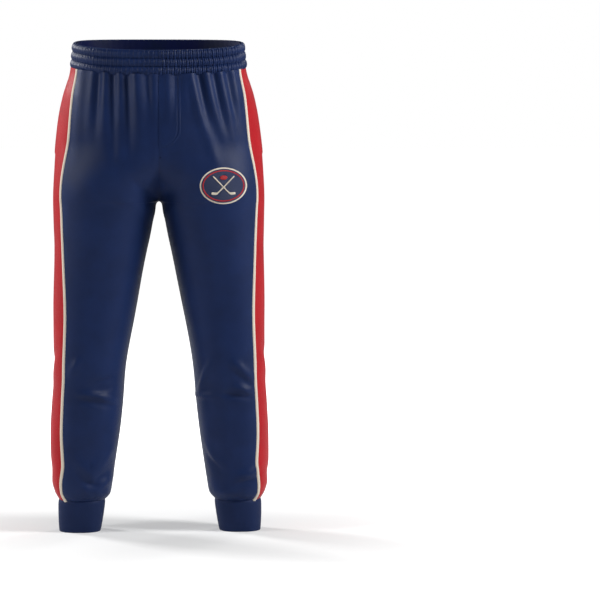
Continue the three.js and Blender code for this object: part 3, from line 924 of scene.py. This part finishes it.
class TROUSERS_OT_pockets(Operator):
    """The slanted side pockets: facings, bags, bartacks and the stitching of the lip"""

    bl_idname = "trousers.pockets"
    bl_label = "Side Pockets"

    def execute(self, context):
        for side, sign in SIDES:
            self.facing(side, sign)
            self.bag(side, sign)
            self.stitching(side, sign)
        return {"FINISHED"}

    def facing(self, side, sign):
        z = np.linspace(POCKET_TOP + 0.004, POCKET_BOTTOM - 0.004, 48)
        reach = POCKET_LINE + np.linspace(-0.009, 0.014, 9)[None] + np.zeros((len(z), 1))
        bm = draped_sheet(z, reach, -2.4 * MM, sign)
        thicken(bm, 0.8 * MM)
        obj = finished(f"{side}_pocket_facing_cloth", bm, Cloths.get("red"))
        over_hip(obj)
        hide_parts(f"{side}_pocket_facing")

    def bag(self, side, sign):
        z = np.linspace(BAG_TOP, BAG_BOTTOM, 60)
        drop = np.clip((z - BAG_BOTTOM) / BAG_FOOT, 0, 1)
        wide = BAG_HALF * np.sqrt(np.maximum(1 - (1 - drop) ** 2.4, 0.0)) * 0.98 + 0.0012
        share = np.linspace(-1, 1, 41)[None]
        reach = wide[:, None] * share
        at_edge = (1 - share**6) * np.minimum(1, (z - BAG_BOTTOM) / 0.02)[:, None]
        at_top = np.minimum(1, (BAG_TOP - z) / 0.03)[:, None] ** 0.5
        inner = -BAG_INSIDE - 0.3 * MM - BAG_DEEP * at_edge * at_top
        bm = draped_sheet(z, reach, -BAG_INSIDE, sign)
        uv = bm.loops.layers.uv.active
        mouth = [
            face for face in bm.faces if all(self.in_mouth(*loop[uv].uv) for loop in face.loops)
        ]
        bmesh.ops.delete(bm, geom=mouth, context="FACES")
        back = draped_sheet(z, reach, inner, -sign)
        for vert in back.verts:
            vert.co.x *= -1
        add_to(bm, back)
        bmesh.ops.recalc_face_normals(bm, faces=bm.faces)
        bmesh.ops.remove_doubles(bm, verts=bm.verts, dist=0.35 * MM)
        bmesh.ops.recalc_face_normals(bm, faces=bm.faces)
        thicken(bm, 0.5 * MM)
        obj = finished(f"{side}_pocket_bag_cloth", bm, Cloths.get("pocketing"), sharp=80)
        over_hip(obj)
        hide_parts(f"{side}_pocket_bag")

    def in_mouth(self, reach, z):
        """Whether a place lies where the bag is open behind the pocket mouth."""
        return abs(reach - POCKET_LINE) < 8 * MM and POCKET_BOTTOM < z < POCKET_TOP

    def stitching(self, side, sign):
        z = np.linspace(POCKET_TOP - 0.003, POCKET_BOTTOM + 0.003, 120)
        reach = np.full((len(z), 1), POCKET_LINE - LIP_HEM)
        spots, normals = draped(z, reach, sign, pocket_lift(reach, z) + 0.15 * MM)
        bm = bmesh.new()
        stitch_run(bm, spots[:, 0], normals[:, 0], 3.6 * MM, 1.0 * MM)
        obj = finished(f"{side}_pocket_stitches", bm, Cloths.get("red_thread_painted_shade"))
        over_hip(obj)
        ends = (POCKET_LINE + np.array([-7.0, 2.5]) * MM)[:, None]
        for end, at in (("top", POCKET_TOP), ("bottom", POCKET_BOTTOM)):
            bm = bmesh.new()
            for k in range(7):
                level = np.full(2, at + (k - 3) * 0.55 * MM)
                spots, normals = draped(level, ends, sign, pocket_lift(ends, level) + 0.4 * MM)
                bar(bm, spots[0, 0], spots[1, 0], normals[0, 0], 0.65 * MM)
            obj = finished(f"{side}_bartack_{end}", bm, Cloths.get("red_thread_painted_shade"))
            if end == "top":
                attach(obj, "hips")
            else:
                over_hip(obj)
            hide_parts(f"{side}_pocket_bartack_{end}")


def bar(bm, start, end, normal, width):
    """One long flat stitch between two points."""
    start, end, up = Vector(start), Vector(end), Vector(normal)
    along = end - start
    across = up.cross(along).normalized() * width
    up = along.cross(across).normalized() * width * 0.7
    turn = Matrix((across, up, along)).transposed().to_4x4()
    turn.translation = (start + end) / 2
    bmesh.ops.create_uvsphere(bm, u_segments=6, v_segments=5, radius=0.5, matrix=turn)


def stitch_run(bm, spots, normals, pitch, width):
    """A row of stitches along a line on the cloth."""
    run = run_along(spots)
    count = max(1, int(run[-1] / pitch))
    half = STITCH_SHARE * run[-1] / count / 2

    def at(line, length):
        return [np.interp(length, run, line[:, k]) for k in range(3)]

    for k in range(count):
        middle = (k + 0.5) * run[-1] / count
        start, end = at(spots, middle - half), at(spots, middle + half)
        bar(bm, start, end, at(normals, middle), width)


class TROUSERS_OT_fly(Operator):
    """The mock fly, its double stitching and its bartack"""

    bl_idname = "trousers.fly"
    bl_label = "Mock Fly"

    def execute(self, context):
        z = np.linspace(-BAND_HEIGHT, FLY_BOTTOM, 60)
        curve = np.clip((FLY_CURVE - z) / (FLY_CURVE - FLY_BOTTOM), 0, 1)
        wide = FLY_WIDTH * np.sqrt(np.maximum(1 - curve**2, 0.012))
        first = Sections(z).first
        share = np.linspace(0, 1, 49)[None]
        reach = first[:, None] + wide[:, None] * share
        raised = 0.9 * MM * (1 - share**16) + seam_dip(reach, z) + 0.1 * MM
        for inset in FLY_STITCHES:
            gap = reach - first[:, None] - wide[:, None] + inset
            raised = raised - 0.8 * MM * np.exp(-((gap / (1.3 * MM)) ** 2))
        bm = draped_sheet(z, reach, raised, 1)
        thicken(bm, 0.9 * MM)
        obj = finished("fly_layer", bm, Cloths.get("navy"))
        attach(obj, "hips")
        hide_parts("mock_fly")
        bm = bmesh.new()
        for inset in FLY_STITCHES:
            keep = wide > inset + 0.002
            level = z[keep]
            path = (first + wide - inset)[keep][:, None]
            spots, normals = draped(level, path, 1, 0.42 * MM + seam_dip(path, level))
            stitch_run(bm, spots[:, 0], normals[:, 0], 3.2 * MM, 0.7 * MM)
        stitches = finished("fly_stitches", bm, Cloths.get("navy_thread_painted_shade"))
        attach(stitches, "hips")
        self.bartack()
        return {"FINISHED"}

    def bartack(self):
        bm = bmesh.new()
        for k in range(5):
            level = np.full(2, FLY_TACK_Z + (k - 2) * 0.6 * MM)
            path = (Sections(level).first + np.array([2.0, 22.0]) * MM)[:, None]
            spots, normals = draped(level, path, 1, 0.7 * MM)
            bar(bm, spots[0, 0], spots[1, 0], normals[0, 0], 1.1 * MM)
        obj = finished("fly_tack", bm, Cloths.get("navy_thread_painted_shade"))
        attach(obj, "hips")
        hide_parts("fly_bartack")


# One stick's line across the badge, in millimetres from its centre.
STICK = ((-21, 19.5), (9.5, -12.5), (12.6, -15.0), (16, -15.9), (24, -14.8))


class ThighZone:
    """The cloth of the left thigh round the badge, by x and height."""

    def __init__(self):
        self.x = BADGE_X + np.linspace(-0.054, 0.054, 73)
        self.z = BADGE_Z + np.linspace(-0.044, 0.044, 61)
        here = Sections(self.z)
        mid = here.SAMPLES // 2
        rows = zip(here.x[:, : mid + 1], here.reach[:, : mid + 1])
        reach = np.array([np.interp(self.x, x, length) for x, length in rows])
        self.spots, self.normals = draped(self.z, reach, 1)

    def at(self, a, b, raised):
        """Points above the cloth at offsets a across and b up from the badge's centre."""
        u, v = (
            np.clip((value - line[0]) / (line[1] - line[0]), 0, len(line) - 1.001)
            for value, line in ((BADGE_X + a, self.x), (BADGE_Z + b, self.z))
        )
        i, j = v.astype(int), u.astype(int)
        s, t = (v - i)[..., None], (u - j)[..., None]
        spot, normal = (
            (1 - s) * ((1 - t) * f[i, j] + t * f[i, j + 1])
            + s * ((1 - t) * f[i + 1, j] + t * f[i + 1, j + 1])
            for f in (self.spots, self.normals)
        )
        return spot + normal * np.asarray(raised)[..., None]


class TROUSERS_OT_badge(Operator):
    """The embroidered crest on the left thigh: crossed sticks and a puck in an oval"""

    bl_idname = "trousers.badge"
    bl_label = "Thigh Badge"

    def execute(self, context):
        zone = ThighZone()
        parts = (
            ("badge_border", self.oval(zone, 48, 37.2, 1.3), "ivory_silk"),
            ("badge_field", self.oval(zone, 44.6, 34.0, 1.75), "navy_silk"),
            ("badge_band", self.ring(zone, 42.6, 32.1, 3.6, 2.35), "red_silk"),
            ("badge_sticks", self.sticks(zone), "ivory_silk"),
            ("badge_puck", self.puck(zone), "red_silk"),
        )
        for name, bm, silk in parts:
            obj = finished(name, bm, Cloths.get(silk), sharp=70)
            over_hip(obj)
        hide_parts("thigh_badge")
        return {"FINISHED"}

    def closed(self, bm):
        """Joins a pad's seam and pole, turns it to the front and gives it a wall."""
        bmesh.ops.remove_doubles(bm, verts=bm.verts, dist=0.01 * MM)
        bm.normal_update()
        if sum(face.normal.y for face in bm.faces) > 0:
            bmesh.ops.reverse_faces(bm, faces=bm.faces)
        thicken(bm, BADGE_WALL)
        return bm

    def wrapped(self, zone, columns, rows, shape):
        """A pad whose corners shape(u, v) gives as offsets across, up and out, in mm."""
        u, v = np.meshgrid(np.linspace(0, 1, columns + 1), np.linspace(0, 1, rows + 1))
        a, b, raised = shape(u, v)
        points = zone.at(a * MM, b * MM, raised * MM)
        return self.closed(cloth_grid(points, np.stack([a, b], axis=-1) * MM))

    def oval(self, zone, a, b, top):
        """A low oval pad with a rounded edge."""

        def shape(u, v):
            turn = u * math.tau
            out = np.minimum(v * 1.06, 1.0)
            drop = np.clip((v * 1.06 - 0.97) / 0.09, 0, 1)
            height = top - (top + 0.5) * drop**2
            return a * out * np.cos(turn), b * out * np.sin(turn), height

        return self.wrapped(zone, 160, 44, shape)

    def ring(self, zone, a, b, wide, top):
        """A raised satin-stitched ring just inside the oval's edge."""

        def shape(u, v):
            turn = u * math.tau
            across = 2 * v - 1
            out = wide / 2 * across - wide / 2
            height = top - 1.6 * np.abs(across) ** 3
            return (a + out) * np.cos(turn), (b + out) * np.sin(turn), height

        return self.wrapped(zone, 160, 10, shape)

    def stroke(self, zone, line, half, top, lift=0.0):
        """A satin-stitched stroke along a line, rounded at its ends."""
        line = np.array(line, float)
        run = run_along(line)
        near = 1.2

        def along(at):
            return np.array([np.interp(at, run, line[:, k]) for k in (0, 1)])

        def shape(u, v):
            at = v * run[-1]
            x, y = along(at)
            dx, dy = along(at + near) - along(at - near)
            size = np.hypot(dx, dy)
            end = np.clip(np.minimum(at, run[-1] - at) / near, 0, 1)
            wide = half(v) * np.sqrt(np.clip(1 - (1 - end) ** 2, 0.003, 1))
            across = 2 * u - 1
            height = top + lift - 1.3 * np.abs(across) ** 3
            return x - dy / size * wide * across, y + dx / size * wide * across, height

        return self.wrapped(zone, 10, 70, shape)

    def sticks(self, zone):
        bm = bmesh.new()
        for way, lift in ((1, 0.0), (-1, 0.45)):
            line = [(x * way, y) for x, y in STICK]
            add_to(bm, self.stroke(zone, self.rounded(line), self.stick_half, 2.9, lift))
        return bm

    def stick_half(self, v):
        """Half a stick's width along its length: a slim shaft, then the blade."""
        return 1.25 + 1.3 * smoothstep(0.76, 0.86, v)

    def rounded(self, line):
        """The same line with its corners cut three times over."""
        points = [np.array(p, float) for p in line]
        for _ in range(3):
            cut = [points[0]]
            for a, b in zip(points, points[1:]):
                cut += [a * 0.75 + b * 0.25, a * 0.25 + b * 0.75]
            points = cut + [points[-1]]
        return points

    def puck(self, zone):
        def shape(u, v):
            turn = u * math.tau
            out = np.minimum(v * 1.1, 1.0)
            drop = np.clip((v * 1.1 - 0.9) / 0.2, 0, 1)
            height = 3.0 - 1.9 * drop**2
            return 7.2 * out * np.cos(turn), 16.5 + 4.4 * out * np.sin(turn), height

        return self.wrapped(zone, 48, 12, shape)


def waist_loop(z, raised, thickness):
    """A loop of cloth round the waist that stands out from the form by raised, which
    runs from the front centre by the left side and the back to the front again."""
    t = np.linspace(0, 2, raised.shape[1])
    right = t > 1
    share = np.where(right, 2 - t, t)
    here = Sections(z)
    whole = (here.last - here.first)[:, None]
    p, normal, dip = surface(z, between(here.first, here.last, share))
    length = (np.where(right, 2, 0)[None] + np.where(right, -1, 1)[None] * share) * whole
    p = p + normal * raised[..., None]
    p[..., 2] += dip
    middle = (t == 0) | (t == 1) | (t == 2)
    p[..., 0] = np.where(middle, 0.0, p[..., 0]) * np.where(right, -1, 1)
    bm = cloth_grid(p, on_cloth(length, z), inside_out=True)
    closed_round(bm)
    thicken(bm, thickness)
    return bm


BAND_COLUMNS = 1300
HALF_WAIST = 0.47  # half the way round the waist
RIM_TUCK = 0.001  # how far the rim's edge turns in


class TROUSERS_OT_waistband(Operator):
    """The shirred waistband: outer cloth, elastic and facing"""

    bl_idname = "trousers.waistband"
    bl_label = "Waistband"

    def execute(self, context):
        sizes = context.scene.trouser_sizes
        rolls = sizes.band_rows
        down = np.linspace(0, 1, 37)
        around = np.linspace(0, 2, BAND_COLUMNS + 1)[None] * HALF_WAIST
        roll = np.abs(np.sin(math.pi * rolls * down)) ** 0.75
        gather = self.gathers(around, down[:, None], rolls)
        raised = roll[:, None] * sizes.band_puff + gather * sizes.gather_depth - BAND_INSET
        raised[0] -= RIM_TUCK
        bm = waist_loop(-BAND_SEEN * down, raised, 1.6 * MM)
        band = finished("waistband", bm, Cloths.get("navy"))
        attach(band, "hips")
        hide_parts("waistband_outer")
        self.inner("waistband_elastic", -5.2 * MM, 1.8 * MM, 6 * MM, "elastic", "elastic")
        self.inner("waistband_facing", -7.6 * MM, 1.2 * MM, 0.0, "shade_dark_lining", "navy_knit")
        return {"FINISHED"}

    def gathers(self, around, down, rolls):
        """Fine ruffles, strongest beside the stitch rows and easing over each roll."""
        drift = 1.4 * np.sin(23 * around) + 0.9 * np.sin(61 * around + 1)
        wave = np.sin(around * math.tau / 0.0046 + drift + 1.2 * np.sin(9 * down))
        wave += 0.7 * np.sin(around * math.tau / 0.0079 + 2.1 * np.sin(17 * around) - 2 * down)
        near_stitch = 0.6 + 0.4 * np.cos(math.pi * rolls * down) ** 2
        patch = 0.7 + 0.3 * np.sin(5.1 * around + 0.8)
        return 0.5 * wave * near_stitch * patch

    def inner(self, name, out, thickness, inset, cloth, slot):
        """A layer inside the outer cloth."""
        z = np.linspace(-inset, -BAND_HEIGHT + inset, 13)
        around = np.linspace(0, 2, 241)[None]
        raised = out + 0.25 * MM * np.sin(around * 240 + np.zeros((len(z), 1)))
        bm = waist_loop(z, raised, thickness)
        kind = "_web" if cloth == "elastic" else "_cloth"
        obj = finished(name + kind, bm, Cloths.get(cloth))
        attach(obj, "hips")
        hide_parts(name)


CUFF_RIBS = 110
CUFF_COLUMNS = 660
CUFF_OVERLAP = 0.002  # how far the cuff runs up inside the leg's hem


class TROUSERS_OT_cuffs(Operator):
    """The ribbed cuffs"""

    bl_idname = "trousers.cuffs"
    bl_label = "Cuffs"

    def execute(self, context):
        for side, sign in SIDES:
            bm = self.tube(sign)
            thicken(bm, 2.4 * MM)
            obj = finished(f"{side}_cuff", bm, Cloths.get("rib"))
            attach(obj, f"{side}_shin")
            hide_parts(f"{side}_rib_cuff")
        return {"FINISHED"}

    def tube(self, sign):
        """The cuff's outer face: fine ribs on a tube that swells between its two edges."""
        down = np.linspace(0, 1, 29)
        top = CUFF_TOP_Z + CUFF_OVERLAP
        z = top + (CUFF_LOW_Z - top) * down
        here = Sections(z, CUFF_EDGES)
        share = np.linspace(0, 1, CUFF_COLUMNS + 1)
        reach = between(here.first, here.last, share)
        rib = np.abs(np.sin(share * math.pi * CUFF_RIBS))[None] * 0.45 * MM
        tuck = -2.4 * MM * np.exp(-down / 0.04)
        swell = (1.2 * MM * np.sin(math.pi * down) ** 0.6 - 0.9 * MM + tuck)[:, None]
        p, normal, _ = surface(z, reach, CUFF_EDGES)
        p = p + normal * (rib + swell)[..., None]
        p[:, -1] = p[:, 0]
        p[..., 0] *= sign
        bm = cloth_grid(p, on_cloth(reach, z), inside_out=sign > 0)
        closed_round(bm)
        return bm


LIGHTS = (  # name, place, size and power
    ("key", (3.7, -1.3, 1.6), 1.2, 165),
    ("front", (0.2, -4.6, 2.6), 1.2, 13),
    ("left_rim", (-3.4, -1.0, 1.0), 1.2, 66),
    ("back_key", (-3.2, 2.6, 1.7), 1.1, 140),
    ("back_fill", (2.4, 3.6, 2.0), 1.2, 46),
)
CAMERA_SPOT, CAMERA_TARGET = (0, -6.0, -0.10), (0.2913, 0, -0.5307)
HALF_VIEW = 0.6219  # half the width of what the camera sees at its target


def aim(obj, spot, target):
    """Puts a light or a camera at spot, facing target, and returns how far away that is."""
    way = Vector(target) - Vector(spot)
    obj.location = spot
    obj.rotation_euler = way.to_track_quat("-Z", "Y").to_euler()
    return way.length


class TROUSERS_OT_stage(Operator):
    """The floor, the lights and the camera"""

    bl_idname = "trousers.stage"
    bl_label = "Stage"

    def execute(self, context):
        scene = context.scene
        scene.view_settings.view_transform = "Standard"
        self.floor()
        self.lights(scene)
        self.camera(scene)
        return {"FINISHED"}

    def floor(self):
        bm = bmesh.new()
        bmesh.ops.create_grid(bm, x_segments=1, y_segments=1, size=40.0)
        for vert in bm.verts:
            vert.co.z = CUFF_LOW_Z - 0.0005
        pale = principled("floor_white", (0.72, 0.72, 0.72), 0.9, 0.0, 0.0)
        n = Nodes(pale)
        n.shader.inputs["Emission Color"].default_value = (1, 1, 1, 1)
        seen = n.new("ShaderNodeLightPath").outputs["Is Camera Ray"]
        away = n.new("ShaderNodeVectorMath", operation="LENGTH")
        n.link(n.new("ShaderNodeTexCoord").outputs["Object"], away.inputs[0])
        reach = n.new("ShaderNodeMapRange")
        for socket, value in zip(("From Min", "From Max", "To Min", "To Max"), FLOOR_GLOW):
            reach.inputs[socket].default_value = value
        n.link(away.outputs["Value"], reach.inputs["Value"])
        glow = n.math("MULTIPLY", seen, reach.outputs["Result"])
        n.link(glow, n.shader.inputs["Emission Strength"])
        floor = finished("floor", bm, pale)

    def lights(self, scene):
        world = bpy.data.worlds.new("studio")
        scene.world = world
        world.use_nodes = True
        tree = world.node_tree
        seen = tree.nodes["Background"]
        seen.inputs["Color"].default_value = (1, 1, 1, 1)
        seen.inputs["Strength"].default_value = 1.0
        fill = tree.nodes.new("ShaderNodeBackground")
        fill.inputs["Color"].default_value = (1, 1, 1, 1)
        fill.inputs["Strength"].default_value = WORLD_FILL
        path = tree.nodes.new("ShaderNodeLightPath")
        either = tree.nodes.new("ShaderNodeMixShader")
        tree.links.new(path.outputs["Is Camera Ray"], either.inputs[0])
        tree.links.new(fill.outputs[0], either.inputs[1])
        tree.links.new(seen.outputs[0], either.inputs[2])
        tree.links.new(either.outputs[0], tree.nodes["World Output"].inputs["Surface"])
        for name, spot, size, power in LIGHTS:
            light = bpy.data.lights.new(name, "AREA")
            light.size = size
            light.energy = power
            lamp = bpy.data.objects.new(name, light)
            aim(lamp, spot, (0, 0, -0.5))
            scene.collection.objects.link(lamp)

    def camera(self, scene):
        lens = bpy.data.cameras.new("camera")
        camera = bpy.data.objects.new("camera", lens)
        scene.collection.objects.link(camera)
        scene.camera = camera
        away = aim(camera, CAMERA_SPOT, CAMERA_TARGET)
        lens.sensor_fit = "HORIZONTAL"
        lens.angle = 2 * math.atan(HALF_VIEW / away)


# ---- settings, panel and registration ------------------------------------------------


LENGTH = {"subtype": "DISTANCE", "unit": "LENGTH"}


class TrouserSizes(PropertyGroup):
    """Sizes of the cloth"""

    cloth: FloatProperty(
        name="Cloth", description="Thickness of the knit", default=0.0012, **LENGTH
    )
    cell: FloatProperty(
        name="Cell", description="Spacing of the panels' mesh rows", default=0.0038, **LENGTH
    )
    piping_width: FloatProperty(
        name="Piping Width", description="Width of the flat piping", default=0.006, **LENGTH
    )
    band_rows: IntProperty(
        name="Band Rows", description="Shirred rows in the waistband", default=3, min=1
    )
    band_puff: FloatProperty(
        name="Band Puff", description="How far each shirred row stands out",
        default=0.0042, **LENGTH,
    )
    gather_depth: FloatProperty(
        name="Gather Depth", description="Depth of the waistband's fine gathers",
        default=0.0021, **LENGTH,
    )


class TrouserColours(PropertyGroup):
    """Colours of the cloths"""

    navy: FloatVectorProperty(
        name="Navy", description="Front and back panels", subtype="COLOR",
        default=(0.0052, 0.0180, 0.0800),
    )
    red: FloatVectorProperty(
        name="Red", description="Side panels", subtype="COLOR", default=(0.44, 0.0075, 0.0140)
    )
    ivory: FloatVectorProperty(
        name="Ivory", description="Piping", subtype="COLOR", default=(0.807, 0.723, 0.597)
    )


class TROUSERS_PT_panel(Panel):
    """The trousers' settings and their pieces"""

    bl_label = "Trousers"
    bl_space_type = "VIEW_3D"
    bl_region_type = "UI"
    bl_category = "Trousers"

    def draw(self, context):
        layout = self.layout
        for settings in (context.scene.trouser_sizes, context.scene.trouser_colours):
            for key in settings.bl_rna.properties.keys():
                if key not in {"rna_type", "name"}:
                    layout.prop(settings, key)
        for operator in OPERATORS:
            layout.operator(operator.bl_idname)


OPERATORS = (
    TROUSERS_OT_panels,
    TROUSERS_OT_piping,
    TROUSERS_OT_pockets,
    TROUSERS_OT_fly,
    TROUSERS_OT_badge,
    TROUSERS_OT_waistband,
    TROUSERS_OT_cuffs,
    TROUSERS_OT_stage,
)
CLASSES = (TrouserSizes, TrouserColours, *OPERATORS, TROUSERS_PT_panel)


def register():
    for cls in CLASSES:
        bpy.utils.register_class(cls)
    bpy.types.Scene.trouser_sizes = PointerProperty(type=TrouserSizes)
    bpy.types.Scene.trouser_colours = PointerProperty(type=TrouserColours)


def unregister():
    del bpy.types.Scene.trouser_colours
    del bpy.types.Scene.trouser_sizes
    for cls in reversed(CLASSES):
        bpy.utils.unregister_class(cls)


def main():
    register()
    for operator in OPERATORS:
        group, name = operator.bl_idname.split(".")
        getattr(getattr(bpy.ops, group), name)()


if __name__ == "__main__":
    main()
